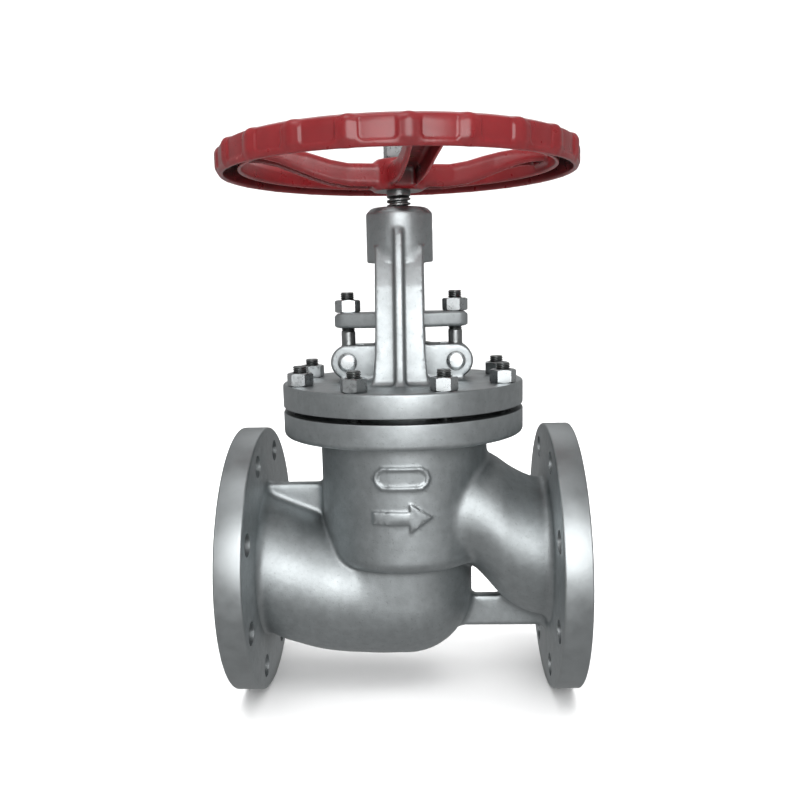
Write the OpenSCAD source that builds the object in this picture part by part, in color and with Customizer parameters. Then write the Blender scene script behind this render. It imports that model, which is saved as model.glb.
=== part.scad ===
// Flanged globe valve, rising stem and rising handwheel, outside screw and yoke.
// Row frame: origin at the centre of the inlet flange's raised face, +X along the
// pipe in the direction of flow, +Z up along the stem. Every module is drawn about
// the valve centre, where the pipe axis meets the stem axis, and placed by at_centre().

/* [Pipe ends] */
// Distance between the two raised faces
face_to_face = 292; // [280:2:320]
// Outside diameter of each end flange
flange_d = 228.6; // [226:0.1:240]
// Thickness of each end flange without its raised face
flange_t = 22.3; // [20:0.1:26]
// Diameter of the raised gasket face
raised_d = 157.2; // [150:0.1:160]
// Height of the raised gasket face
raised_h = 1.6; // [1:0.1:3]
// Diameter of the flow bore at each end
port_d = 102; // [98:1:104]
// Diameter of the bolt circle
bolt_circle_d = 190.5; // [188:0.5:194]
// Diameter of the bolt holes
bolt_hole_d = 19; // [16:0.5:21]
// Number of bolt holes in each end flange
bolt_holes = 8; // [4:4:8]

/* [Body] */
// Outside radius of the upper chamber
chamber_r = 72; // [71:1:74]
// Inside radius of the upper chamber
chamber_bore_r = 62; // [61:1:63]
// Outside radius of the bowl under the seat
bowl_r = 57.5; // [57:0.5:59]
// Inside radius of the bowl under the seat
bowl_bore_r = 48.5; // [48:0.5:49.5]
// Drop of the bowl's centre below the pipe axis
bowl_drop = 30; // [28:1:32]
// Height of the chamber's outer lower edge
chamber_z = 6; // [4:1:8]
// Height of the chamber floor around the seat ring
floor_z = 14; // [13:1:15]
// Thickness of the stiffening ribs beside the necks
rib_t = 12; // [8:1:14]

/* [Bonnet joint] */
// Radius of the body's top flange and of the bonnet flange
joint_r = 103; // [102:0.5:108]
// Height of the underside of the body's top flange
joint_z = 112; // [110:1:114]
// Thickness of the body's top flange
body_joint_t = 20.5; // [18:0.5:24]
// Open gap between the two flanges
joint_gap = 4; // [3:0.5:5]
// Thickness of the bonnet flange
bonnet_t = 19.5; // [18:0.5:24]
// Radius of the stud circle
stud_circle_r = 90.5; // [89:0.5:91.5]
// Number of studs
studs = 8; // [8:1:8]
// Stud diameter
stud_d = 12; // [10:1:12]

/* [Gland] */
// Height of the top of the stuffing box and of its lugs
box_top_z = 187.2; // [186:0.2:190]
// Height of the bottom of the stuffing box
box_floor_z = 145; // [144:1:146]
// Radius of the stuffing box bore
box_bore_r = 17; // [16:0.5:18]
// Distance of each eyebolt from the stem axis
eyebolt_x = 46; // [45:0.5:47]
// Height of the eyebolt pins
pin_z = 172.7; // [172:0.1:173]
// Height of the top of the gland flange
gland_top_z = 214.5; // [213:0.5:216]
// Thickness of the gland flange
gland_t = 13; // [11:1:14]
// Number of packing rings
packing_rings = 5; // [5:1:5]

/* [Stem and yoke] */
// Stem diameter
stem_d = 20; // [18:1:22]
// Lift of the disc from shut to fully open
lift = 30; // [20:1:30]
// Radius of the yoke hub
hub_r = 28; // [26:1:30]
// Height of the underside of the yoke hub
hub_z = 256; // [254:1:258]
// Height of the top of the yoke hub
hub_top_z = 301; // [300:1:302]

/* [Handwheel] */
// Outside radius of the rim
wheel_r = 150; // [140:1:160]
// Height of the bottom of the handwheel hub
wheel_z = 315; // [313:1:317]
// Height of the lower lips of the rim
rim_z = 327.4; // [326:0.2:329]
// Height of the rim section
rim_h = 23.6; // [22:0.2:25]
// Radial width of the rim section
rim_w = 21; // [19:1:23]
// Number of grip knuckles around the rim
knuckles = 22; // [18:1:26]
// Direction of the first spoke
spoke_a = -77; // [-90:1:90]

/* [Hidden] */
$fn = 64;

eps = 0.5;                                    // overrun of a cutter past a face
fit = 0.05;                                   // radial clearance of a running fit
half = face_to_face / 2;
rim_x = half - raised_h;                      // outer edge of an end flange
back_x = rim_x - flange_t;                    // back face of an end flange
port_r = port_d / 2;
stem_r = stem_d / 2;
body_top_z = joint_z + body_joint_t;
bonnet_z = body_top_z + joint_gap;
bonnet_top_z = bonnet_z + bonnet_t;
rib_inner_z = 38;                             // a rib's edge nearer the pipe axis
rib_outer_z = 66;                             // a rib's edge further from the pipe axis

// Gasket joint: the bonnet's spigot presses the gasket into the body's recess.
gasket_r = 75;
gasket_bore_r = 63;
gasket_t = 3.2;
recess_z = body_top_z - 5;
spigot_z = recess_z + gasket_t;

// Seat and disc.
seat_z = floor_z + 5;                         // top of the seat ring
seat_thread_r = 53;
seat_bore_r = 46.5;
seat_cone = 3;                                // width and depth of the seat's cone
disc_r = 52;
cone_gap = 0.4;                               // gap between two conical seating faces
disc_z = seat_z;                              // rim of the shut disc, resting on the seat
disc_t = 12;
socket_z = disc_z + 6;                        // floor of the disc's socket
socket_r = 14;
head_h = 9;                                   // stem's head inside the socket
head_r = 13;
lock_z = socket_z + head_h + 0.4;             // ledge that the lock washer sits on
boss_r = 21;                                  // disc's boss
boss_z = lock_z + 13;                         // top of the boss

// Backseat.
backseat_z = 112;
backseat_r = 15;
collar_z = backseat_z + 5 - lift - cone_gap;  // top of the stem's collar when shut

// Stuffing box.
packing_r = box_bore_r - fit;
packing_bore_r = stem_r + fit;
washer_h = 2;
ring_h = 6.5;
follower_z = box_floor_z + washer_h + packing_rings * ring_h;
gland_z = gland_top_z - gland_t;

// Nuts: across flats and height, by thread.
m12_af = 19;
m12_h = 10.8;
m14_af = 21.5;
m14_h = 12;
stud_end = 5.5;                               // stud or bolt standing out of a nut
eye_r = 12;
eye_w = 13.6;
slot_w = 14;
lug_r = 14.5;
lug_w = 30;
pin_r = 5;
slot_half = 6.8;                              // half width of the gland flange's open slots

// Handwheel.
square = 14;                                  // stem square under the wheel
wheel_hub_r = 19;
wheel_hub_h = 24;
wheel_top_z = wheel_z + wheel_hub_h;
wheel_washer_h = 2.5;
rim_wall = 3.5;
knuckle_out = 1.8;                             // how far the knuckles stand out of the rim
knuckle_a = -84.8;                             // direction of the first knuckle
inner_up = 4.2;                                // how far the rim's inner wall stops short of the outer one
spoke_w = 26;
rim_top = rim_z + rim_h;
// Stations of a spoke: distance from the axis, bottom, top.
spoke_line = [[13.5, wheel_z + 2.5, wheel_z + 22], [43, wheel_z + 2.8, wheel_z + 22],
              [58, wheel_z + 4.5, wheel_z + 24.5], [73, wheel_z + 9.5, rim_top - 7],
              [88, wheel_z + 15, rim_top - 3.5], [100, wheel_z + 19.5, rim_top - 1.5],
              [112, wheel_z + 22.5, rim_top - 1], [wheel_r - rim_w + 5, wheel_z + 24.5, rim_top - 3]];

// Stations of the outer and inner walls of the two flow passages:
// [x, height of the centre, half height, half width].
inlet_outer = [[-back_x - eps, -2, 61, 62], [-112, -9, 62.5, 62], [-94, -16, 62, 61.5],
               [-76, -22, 61, 61], [-55, -26.5, 59.5, 60], [-30, -29.2, 58, 58.3],
               [0, -bowl_drop, bowl_r - 0.4, bowl_r - 0.4]];
inlet_inner = [[-back_x - 4, -0.5, 50.5, 50.5], [-108, -9, 51.5, 51], [-92, -17, 51, 51],
               [-80, -22, 50, 51], [-70, -29.5, 44.5, 51], [-62, -36.5, 39, 50],
               [-46, -38.5, 39, 48.4], [-30, -bowl_drop, 46, 48.3], [0, -bowl_drop, 47.9, 47.9]];
outlet_outer = [[20, 45, 46, 54], [44, 44, 48, 57.5], [60, 41, 51, 58.5], [70, 33.5, 55, 59.5],
                [80, 24, 59, 60.5], [92, 14.5, 61, 61], [106, 6, 61, 61.2], [back_x + eps, 2, 61, 61.5]];
outlet_inner = [[20, 50, 35, 45], [44, 48, 37.5, 48], [60, 42, 41.5, 49], [70, 33.5, 45.5, 49.5],
                [80, 24, 49.5, 50], [92, 14.5, 51, 50.5], [106, 6, 51, 50.5], [back_x + 4, 0.5, 50.5, 50.5]];

// Points of an arc of radius r about [x, y], from angle a to angle b, in n steps.
function arc(x, y, r, a, b, n = 6) =
    [for (i = [0:n]) [x + r * cos(a + (b - a) * i / n), y + r * sin(a + (b - a) * i / n)]];

// Smooth interpolation of a station list at the share t between stations i and i + 1.
function ease(t) = t * t * (3 - 2 * t);
function catmull(a, b, c, d, t) =
    0.5 * (2 * b + (c - a) * t + (2 * a - 5 * b + 4 * c - d) * t * t
           + (3 * b - a - 3 * c + d) * t * t * t);
function between(s, i, t) =
    catmull(s[max(i - 1, 0)], s[i], s[i + 1], s[min(i + 2, len(s) - 1)], t);
function rings(s, steps) =
    concat([for (i = [0:len(s) - 2]) for (k = [0:steps - 1]) between(s, i, k / steps)],
           [s[len(s) - 1]]);

module at_centre() {
    translate([half, 0, 0]) children();
}

// A closed tube along X whose elliptical rings follow a station list.
module passage(stations, sides = 28, steps = 2) {
    ring = rings(stations, steps);
    n = len(ring);
    points = [for (r = ring) for (k = [0:sides - 1])
              let (a = 360 * k / sides) [r[0], r[3] * cos(a), r[1] + r[2] * sin(a)]];
    walls = [for (i = [0:n - 2]) for (k = [0:sides - 1])
             let (a = i * sides + k, b = i * sides + (k + 1) % sides)
             each [[a, b + sides, b], [a, a + sides, b + sides]]];
    ends = [[for (k = [0:sides - 1]) k], [for (k = [0:sides - 1]) n * sides - 1 - k]];
    polyhedron(points, concat(walls, ends));
}

// A cylinder along X.
module x_cylinder(r, x0, x1) {
    translate([x0, 0, 0]) rotate([0, 90, 0]) cylinder(r = r, h = x1 - x0);
}

// A cylinder along Z between two heights.
module z_cylinder(r, z0, z1) {
    translate([0, 0, z0]) cylinder(r = r, h = z1 - z0);
}

// A ring between two radii and two heights.
module z_ring(outer, inner, z0, z1) {
    difference() {
        z_cylinder(outer, z0, z1);
        z_cylinder(inner, z0 - eps, z1 + eps);
    }
}

// Copies its children around Z, the first at half a step.
module around_z(count) {
    for (i = [0:count - 1]) rotate([0, 0, (i + 0.5) * 360 / count]) children();
}

// A disc with a chamfer c on both outer edges.
module chamfered_disc(r, z0, z1, c) {
    rotate_extrude() polygon([[0, z0], [r - c, z0], [r, z0 + c], [r, z1 - c], [r - c, z1], [0, z1]]);
}

// A hexagon nut with chamfered corners, standing on z = 0.
module hex_nut(af, h, bore_r) {
    corner = af / 2 / cos(30);
    difference() {
        intersection() {
            cylinder(r = corner, h = h, $fn = 6);
            rotate_extrude() polygon([[0, 0], [af / 2, 0], [corner + 0.1, 1.2],
                                      [corner + 0.1, h - 1.2], [af / 2, h], [0, h]]);
        }
        translate([0, 0, -eps]) cylinder(r = bore_r, h = h + 2 * eps);
    }
}

// A threaded rod with chamfered ends.
module rod(r, z0, z1) {
    chamfered_disc(r, z0, z1, 1);
}

// ---------- body ----------

module end_flange(side) {
    chamfer = 1.5;
    rotate([0, side * 90, 0]) rotate_extrude()
        polygon([[0, back_x], [flange_d / 2 - chamfer, back_x], [flange_d / 2, back_x + chamfer],
                 [flange_d / 2, rim_x - chamfer], [flange_d / 2 - chamfer, rim_x],
                 [raised_d / 2, rim_x], [raised_d / 2 - 0.4, half], [0, half]]);
}

module end_cuts(side) {
    x_cylinder(port_r, side > 0 ? back_x - eps : -half - eps, side > 0 ? half + eps : eps - back_x);
    for (i = [0:bolt_holes - 1])
        rotate([(i + 0.5) * 360 / bolt_holes, 0, 0]) translate([0, 0, bolt_circle_d / 2])
            x_cylinder(bolt_hole_d / 2, side > 0 ? back_x - eps : -half - eps,
                       side > 0 ? half + eps : eps - back_x);
}

// The bowl and the riser under the seat, of radius r up to height top.
module bowl(r, top) {
    translate([0, 0, -bowl_drop]) sphere(r = r);
    z_cylinder(r, -bowl_drop, top);
}

// Stiffening bars from the flanges to the chamber and to the bowl.
module body_ribs() {
    rib_h = rib_outer_z - rib_inner_z;
    translate([-back_x - eps, -rib_t / 2, rib_inner_z])
        cube([back_x + eps - chamber_r + 4, rib_t, rib_h]);
    translate([44, -rib_t / 2, -rib_outer_z]) cube([back_x + eps - 44, rib_t, rib_h]);
}

module chamber_shell() {
    edge = 4;
    z_cylinder(chamber_r, chamber_z, joint_z + 1);
    rotate_extrude()
        polygon(concat([[0, joint_z], [joint_r - edge, joint_z]],
                       arc(joint_r - edge, joint_z + edge, edge, -90, 0),
                       [[joint_r, body_top_z - 1], [joint_r - 1, body_top_z], [0, body_top_z]]));
}

module body() color([0.66, 0.67, 0.67]) {
    difference() {
        union() {
            passage(inlet_outer);
            passage(outlet_outer);
            bowl(bowl_r, chamber_z + 1);
            chamber_shell();
            body_ribs();
            end_flange(-1);
            end_flange(1);
        }
        // Upper chamber and outlet, cut around the wall of the bowl.
        difference() {
            union() {
                z_cylinder(chamber_bore_r, floor_z, body_top_z + eps);
                passage(outlet_inner);
            }
            z_cylinder(bowl_r, -bowl_drop - bowl_r, floor_z);
        }
        // Inlet and the bowl up to the seat ring.
        passage(inlet_inner);
        bowl(bowl_bore_r, floor_z - 10);
        z_cylinder(seat_thread_r + fit, floor_z - 10, floor_z + eps);
        z_cylinder(gasket_r + 0.3, recess_z, body_top_z + eps);
        around_z(studs) translate([stud_circle_r, 0, 0])
            z_cylinder(stud_d / 2 + fit, joint_z + 2, body_top_z + eps);
        end_cuts(-1);
        end_cuts(1);
    }
}

// ---------- seat and disc ----------

module seat_ring() color([0.75, 0.76, 0.76])
    rotate_extrude()
        polygon([[seat_bore_r, floor_z - 10], [seat_thread_r, floor_z - 10], [seat_thread_r, floor_z],
                 [57, floor_z], [57, seat_z], [seat_bore_r + seat_cone, seat_z],
                 [seat_bore_r, seat_z - seat_cone]]);

module disc() color([0.72, 0.73, 0.74])
    rotate_extrude()
        polygon([[0, disc_z - seat_cone], [seat_bore_r - cone_gap, disc_z - seat_cone],
                 [seat_bore_r + seat_cone - cone_gap, disc_z], [disc_r, disc_z],
                 [disc_r, disc_z + disc_t - 1], [disc_r - 1, disc_z + disc_t],
                 [boss_r + 4, disc_z + disc_t], [boss_r, disc_z + disc_t + 4], [boss_r, boss_z],
                 [16.5, boss_z], [16.5, lock_z], [socket_r, lock_z], [socket_r, socket_z], [0, socket_z]]);

module disc_lock_washer() color([0.6, 0.61, 0.62])
    z_ring(16.4, stem_r + 0.4, lock_z, lock_z + 1.2);

module disc_nut() color([0.68, 0.69, 0.7])
    difference() {
        union() {
            z_cylinder(16.4, lock_z + 1.2, boss_z);
            translate([0, 0, boss_z]) cylinder(r = 20, h = 8, $fn = 6);
        }
        z_cylinder(stem_r + 0.4, socket_z, boss_z + 8 + eps);
    }

// ---------- stem ----------

module stem() color([0.7, 0.71, 0.72]) {
    square_z = wheel_z;
    top_z = wheel_top_z + wheel_washer_h + m14_h + 4;
    union() {
        // Head, shaft and backseat collar.
        rotate_extrude()
            polygon([[0, socket_z + 0.1], [head_r - 1, socket_z + 0.1], [head_r, socket_z + 1.1],
                     [head_r, socket_z + head_h], [stem_r, socket_z + head_h],
                     [stem_r, collar_z - 13], [backseat_r, collar_z - 8], [backseat_r, collar_z - 5],
                     [stem_r, collar_z], [stem_r, square_z], [0, square_z]]);
        translate([-square / 2, -square / 2, square_z])
            cube([square, square, wheel_hub_h - 1]);
        rod(7, square_z, top_z);
    }
}

// ---------- bonnet and yoke ----------

module lug(side) {
    // A clevis: a plate with a round end, slotted for the eyebolt.
    difference() {
        union() {
            translate([side > 0 ? 18 : -eyebolt_x, -lug_w / 2, bonnet_top_z - 1])
                cube([eyebolt_x - 18, lug_w, box_top_z - bonnet_top_z + 1]);
            translate([side * eyebolt_x, 0, pin_z]) rotate([90, 0, 0])
                cylinder(r = lug_r, h = lug_w, center = true);
            translate([side > 0 ? eyebolt_x - 1 : -eyebolt_x - 5, -lug_w / 2, bonnet_top_z - 1])
                cube([6, lug_w, 6]);
        }
        translate([side > 0 ? eyebolt_x - eye_r - 2 : -eyebolt_x - 20, -slot_w / 2, pin_z - eye_r - 1.2])
            cube([eye_r + 22, slot_w, 60]);
        translate([side * eyebolt_x, 0, pin_z]) rotate([90, 0, 0])
            cylinder(r = pin_r + fit, h = lug_w + 2 * eps, center = true);
    }
}

// Side outline of one arm, as [distance from the stem axis, height], offset outwards.
arm_foot_z = bonnet_top_z - 1;
arm_line = [[45, arm_foot_z], [43.5, 166], [41.5, 178], [39, 196], [35.5, 216], [30.5, 236],
            [24.5, 252], [20, 262]];
function arm_face(out) = [for (p = arm_line) [p[0] + out, p[1]]];

// The arm's web seen from the front: half width at each height.
arm_front = [[24, arm_foot_z], [22.6, 164], [21, 178], [19.6, 200], [19.3, 225], [20, 245], [21.5, 262]];

module arm(side) {
    mirrored = side < 0 ? 1 : 0;
    mirror([0, mirrored, 0]) {
        intersection() {
            rotate([90, 0, 90]) linear_extrude(height = 60, center = true)
                polygon(concat(arm_face(4.5), [for (i = [len(arm_line) - 1:-1:0]) arm_face(-4.5)[i]]));
            rotate([90, 0, 0]) linear_extrude(height = 140, center = true)
                polygon(concat(arm_front,
                               [for (i = [len(arm_front) - 1:-1:0]) [-arm_front[i][0], arm_front[i][1]]]));
        }
        // The rib along the middle of the arm's outer face, up over the hub.
        rotate([90, 0, 90]) linear_extrude(height = 7, center = true)
            polygon([[44, arm_foot_z], [61, arm_foot_z], [55.5, 170], [50, 190], [46.5, 210],
                     [42, 232], [37, 252], [33.5, 268], [31, 280], [26, 283.5], [18, 283.5],
                     [18, 262], [30, 240], [38, 200]]);
    }
}

module bonnet() color([0.66, 0.67, 0.67]) {
    edge = 2;
    difference() {
        union() {
            // Flange with its spigot.
            rotate_extrude()
                polygon(concat([[0, spigot_z], [gasket_r - 1, spigot_z], [gasket_r, spigot_z + 1],
                                [gasket_r, bonnet_z], [joint_r - 1, bonnet_z], [joint_r, bonnet_z + 1]],
                               arc(joint_r - edge, bonnet_top_z - edge, edge, 0, 90, 4),
                               [[0, bonnet_top_z]]));
            // Stuffing box, its foot and the boss that holds the backseat bushing.
            rotate_extrude()
                polygon([[0, backseat_z + 6], [27, backseat_z + 6], [34, spigot_z + 1],
                         [40, bonnet_top_z - 1], [38, bonnet_top_z], [29, bonnet_top_z + 4],
                         [24, bonnet_top_z + 10], [24, box_top_z - 1], [23, box_top_z], [0, box_top_z]]);
            lug(-1);
            lug(1);
            arm(-1);
            arm(1);
            // Yoke hub.
            rotate_extrude()
                polygon([[0, hub_z], [hub_r - 1.5, hub_z], [hub_r, hub_z + 1.5], [hub_r, hub_top_z - 5],
                         [hub_r - 5, hub_top_z], [0, hub_top_z]]);
        }
        around_z(studs) translate([stud_circle_r, 0, 0])
            z_cylinder(stud_d / 2 + 0.75, bonnet_z - eps, bonnet_top_z + eps);
        // Dished underside, clear of the boss.
        rotate_extrude()
            polygon([[40, spigot_z - eps], [58, spigot_z - eps], [55, bonnet_z + 4], [42, bonnet_z + 4]]);
        // Bores for the bushing, the stem, the packing and the yoke bushing.
        z_cylinder(17 + fit, backseat_z + 5, box_floor_z - 9);
        z_cylinder(stem_r + 0.6, box_floor_z - 10, box_floor_z + eps);
        z_cylinder(box_bore_r, box_floor_z, box_top_z + eps);
        z_cylinder(15 + fit, hub_z - eps, hub_top_z + eps);
        translate([0, 0, hub_top_z - 16]) x_cylinder(3 + fit, 10, hub_r + eps);
    }
}

module bonnet_gasket() color([0.25, 0.25, 0.26])
    z_ring(gasket_r, gasket_bore_r, recess_z, spigot_z);

module bonnet_studs() color([0.62, 0.63, 0.64])
    around_z(studs) translate([stud_circle_r, 0, 0])
        rod(stud_d / 2, joint_z + 2, bonnet_top_z + m12_h + stud_end);

module bonnet_nuts() color([0.72, 0.73, 0.74])
    around_z(studs) translate([stud_circle_r, 0, bonnet_top_z])
        hex_nut(m12_af, m12_h, stud_d / 2 + fit);

module backseat_bushing() color([0.7, 0.7, 0.68])
    rotate_extrude()
        polygon([[stem_r + fit, backseat_z + 5], [backseat_r, backseat_z], [21, backseat_z],
                 [21, backseat_z + 6], [17, backseat_z + 6], [17, box_floor_z - 9],
                 [stem_r + fit, box_floor_z - 9]]);

// ---------- packing and gland ----------

module packing_washer() color([0.6, 0.61, 0.62])
    z_ring(packing_r, packing_bore_r, box_floor_z, box_floor_z + washer_h);

module packing_ring(i) color([0.16, 0.16, 0.17])
    z_ring(packing_r, packing_bore_r, box_floor_z + washer_h + (i - 1) * ring_h,
           box_floor_z + washer_h + i * ring_h);

module gland_follower() color([0.72, 0.72, 0.7])
    rotate_extrude()
        polygon([[stem_r + 0.3, follower_z], [packing_r, follower_z], [packing_r, 195], [19.5, 197],
                 [19.5, gland_z + 3], [stem_r + 0.3, gland_z + 3]]);

module gland_flange() color([0.66, 0.67, 0.67]) {
    centre_r = 26;
    end_r = 13;
    end_x = eyebolt_x + sqrt(end_r * end_r - slot_half * slot_half);
    bevel = 3;
    // Where the common tangent of the two circles touches them, held just inside both.
    tilt = asin((centre_r - end_r) / eyebolt_x);
    inset = 0.04;
    difference() {
        union() {
            z_cylinder(centre_r, gland_z, gland_top_z);
            for (side = [-1, 1]) {
                translate([side * eyebolt_x, 0, 0]) z_cylinder(end_r, gland_z, gland_top_z);
                translate([0, 0, gland_z]) linear_extrude(height = gland_t)
                    polygon([for (p = [[0, centre_r, 1], [eyebolt_x, end_r, 1],
                                       [eyebolt_x, end_r, -1], [0, centre_r, -1]])
                             [side * (p[0] + (p[1] - inset) * sin(tilt)),
                              p[2] * (p[1] - inset) * cos(tilt)]]);
            }
        }
        // Bevels on the upper edge of both ends, which the nuts swing over.
        for (side = [-1, 1]) translate([side * end_x, 0, gland_top_z]) rotate([0, 45, 0])
            cube([bevel * sqrt(2), 4 * end_r, bevel * sqrt(2)], center = true);
        z_cylinder(stem_r + 1, gland_z - eps, gland_top_z + eps);
        z_cylinder(19.5 + fit, gland_z - eps, gland_z + 3);
        for (side = [-1, 1]) {
            translate([side * eyebolt_x, 0, 0]) z_cylinder(slot_half, gland_z - eps, gland_top_z + eps);
            translate([side > 0 ? eyebolt_x : -eyebolt_x - 20, -slot_half, gland_z - eps])
                cube([20, 2 * slot_half, gland_t + 2 * eps]);
        }
    }
}

module eyebolt(side) color([0.68, 0.69, 0.7])
    translate([side * eyebolt_x, 0, 0])
        difference() {
            union() {
                translate([0, 0, pin_z]) rotate([90, 0, 0]) cylinder(r = eye_r, h = eye_w, center = true);
                rod(stud_d / 2, pin_z + 8, gland_top_z + m12_h + stud_end + 1);
            }
            translate([0, 0, pin_z]) rotate([90, 0, 0])
                cylinder(r = pin_r + fit, h = eye_w + 2 * eps, center = true);
        }

module eyebolt_pin(side) color([0.74, 0.75, 0.76])
    translate([side * eyebolt_x, 0, pin_z]) rotate([90, 0, 0]) difference() {
        union() {
            translate([0, 0, -lug_w / 2 - 6]) chamfered_disc(pin_r, 0, lug_w + 7, 0.6);
            chamfered_disc(8, lug_w / 2, lug_w / 2 + 3, 0.8);
        }
        translate([0, 0, -lug_w / 2 - 3]) rotate([90, 0, 0])
            cylinder(r = 1.25, h = 3 * pin_r, center = true);
    }

// A split pin through the tail of each eyebolt pin, with its legs bent apart.
module cotter(side) color([0.6, 0.6, 0.58])
    translate([side * eyebolt_x, lug_w / 2 + 3, pin_z]) {
        cylinder(r = 1.1, h = 2 * pin_r + 2, center = true);
        translate([0, 0, pin_r + 3]) rotate([90, 0, 0]) rotate_extrude()
            translate([2, 0]) circle(r = 1, $fn = 16);
        for (way = [-1, 1]) translate([0, 0, -pin_r - 0.8]) rotate([0, way * 115, 0])
            cylinder(r = 0.8, h = 5);
    }

module gland_nut(side) color([0.72, 0.73, 0.74])
    translate([side * eyebolt_x, 0, gland_top_z]) rotate([0, 0, 30])
        hex_nut(m12_af, m12_h, stud_d / 2 + fit);

// ---------- yoke bushing ----------

module yoke_bushing() color([0.72, 0.6, 0.36])
    difference() {
        rotate_extrude()
            polygon([[stem_r + fit, hub_z - 5], [18, hub_z - 5], [18, hub_z], [15, hub_z],
                     [15, hub_top_z], [stem_r + fit, hub_top_z]]);
        translate([0, 0, hub_top_z - 16]) x_cylinder(3 + fit, 13, 16);
    }

module yoke_set_screw() color([0.3, 0.3, 0.31])
    difference() {
        translate([0, 0, hub_top_z - 16]) x_cylinder(3, 13.2, hub_r - 2);
        translate([hub_r - 5, 0, hub_top_z - 16]) rotate([0, 90, 0]) cylinder(r = 1.7, h = 5, $fn = 6);
    }

// ---------- handwheel ----------

// Outline of the rim's section, then the channel in it, which is open below.
module rim_outline() {
    crown = 7;
    inner = wheel_r - rim_w;
    outer = wheel_r - knuckle_out;
    polygon(concat([[inner + 1, rim_z + inner_up], [inner, rim_z + 6 + inner_up]],
                   arc(inner + crown, rim_top - crown, crown, 180, 90, 4),
                   arc(outer - crown, rim_top - crown, crown, 90, 0, 4),
                   [[outer, rim_z + 8], [outer - 1, rim_z + 2], [outer - 3, rim_z]]));
}

module rim_channel() {
    inner = wheel_r - rim_w;
    outer = wheel_r - knuckle_out;
    polygon([[inner + 1, rim_z - 1], [inner + 4, rim_z + inner_up - 0.5],
             [inner + rim_wall, rim_z + 8], [inner + rim_wall, rim_top - 8],
             [inner + 7.5, rim_top - rim_wall], [outer - 7.5, rim_top - rim_wall],
             [outer - rim_wall, rim_top - 8], [outer - rim_wall, rim_z + 8],
             [outer - 6, rim_z + 2.5], [outer - 6, rim_z - 1]]);
}

// One dished spoke, a channel open below, along +X.
module spoke() {
    n = len(spoke_line);
    difference() {
        rotate([90, 0, 0]) linear_extrude(height = spoke_w, center = true)
            polygon(concat([for (p = spoke_line) [p.x, p.y]],
                           [for (i = [n - 1:-1:0]) [spoke_line[i].x, spoke_line[i].z]]));
        rotate([90, 0, 0]) linear_extrude(height = spoke_w - 8, center = true)
            polygon(concat([[wheel_hub_r + 5, wheel_z - 5], [wheel_r - rim_w - 3, rim_z + 5],
                            [wheel_r - rim_w - 3, rim_top - 7]],
                           [for (i = [n - 2:-1:1]) [spoke_line[i].x, spoke_line[i].z - 4]],
                           [[wheel_hub_r + 5, wheel_z + 18]]));
    }
}

module handwheel() color([0.62, 0.1, 0.1])
    difference() {
        union() {
            rotate_extrude() rim_outline();
            chamfered_disc(wheel_hub_r, wheel_z, wheel_top_z, 1.5);
            for (i = [0:3]) rotate([0, 0, spoke_a + 90 * i]) spoke();
            for (i = [0:knuckles - 1]) rotate([0, 0, knuckle_a + i * 360 / knuckles])
                translate([wheel_r - 7, 0, rim_z + 4]) cylinder(r = 7, h = rim_h - 13);
        }
        rotate_extrude() rim_channel();
        translate([-square / 2 - fit, -square / 2 - fit, wheel_z - eps])
            cube([square + 2 * fit, square + 2 * fit, wheel_hub_h + 2 * eps]);
    }

module handwheel_washer() color([0.7, 0.71, 0.72])
    z_ring(13.5, 7.2, wheel_top_z, wheel_top_z + wheel_washer_h);

module handwheel_nut() color([0.7, 0.71, 0.72])
    translate([0, 0, wheel_top_z + wheel_washer_h]) hex_nut(m14_af, m14_h, 7 + fit);

at_centre() body();
at_centre() seat_ring();
at_centre() disc();
at_centre() disc_nut();
at_centre() disc_lock_washer();
at_centre() stem();
at_centre() bonnet();
at_centre() bonnet_gasket();
at_centre() bonnet_studs();
at_centre() bonnet_nuts();
at_centre() backseat_bushing();
at_centre() packing_washer();
at_centre() packing_ring(1);  // packing_ring_1
at_centre() packing_ring(2);  // packing_ring_2
at_centre() packing_ring(3);  // packing_ring_3
at_centre() packing_ring(4);  // packing_ring_4
at_centre() packing_ring(5);  // packing_ring_5
at_centre() gland_follower();
at_centre() gland_flange();
at_centre() eyebolt(-1);  // eyebolt_left
at_centre() eyebolt(1);  // eyebolt_right
at_centre() eyebolt_pin(-1);  // eyebolt_pin_left
at_centre() eyebolt_pin(1);  // eyebolt_pin_right
at_centre() cotter(-1);  // cotter_left
at_centre() cotter(1);  // cotter_right
at_centre() gland_nut(-1);  // gland_nut_left
at_centre() gland_nut(1);  // gland_nut_right
at_centre() yoke_bushing();
at_centre() yoke_set_screw();
at_centre() handwheel();
at_centre() handwheel_washer();
at_centre() handwheel_nut();
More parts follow.
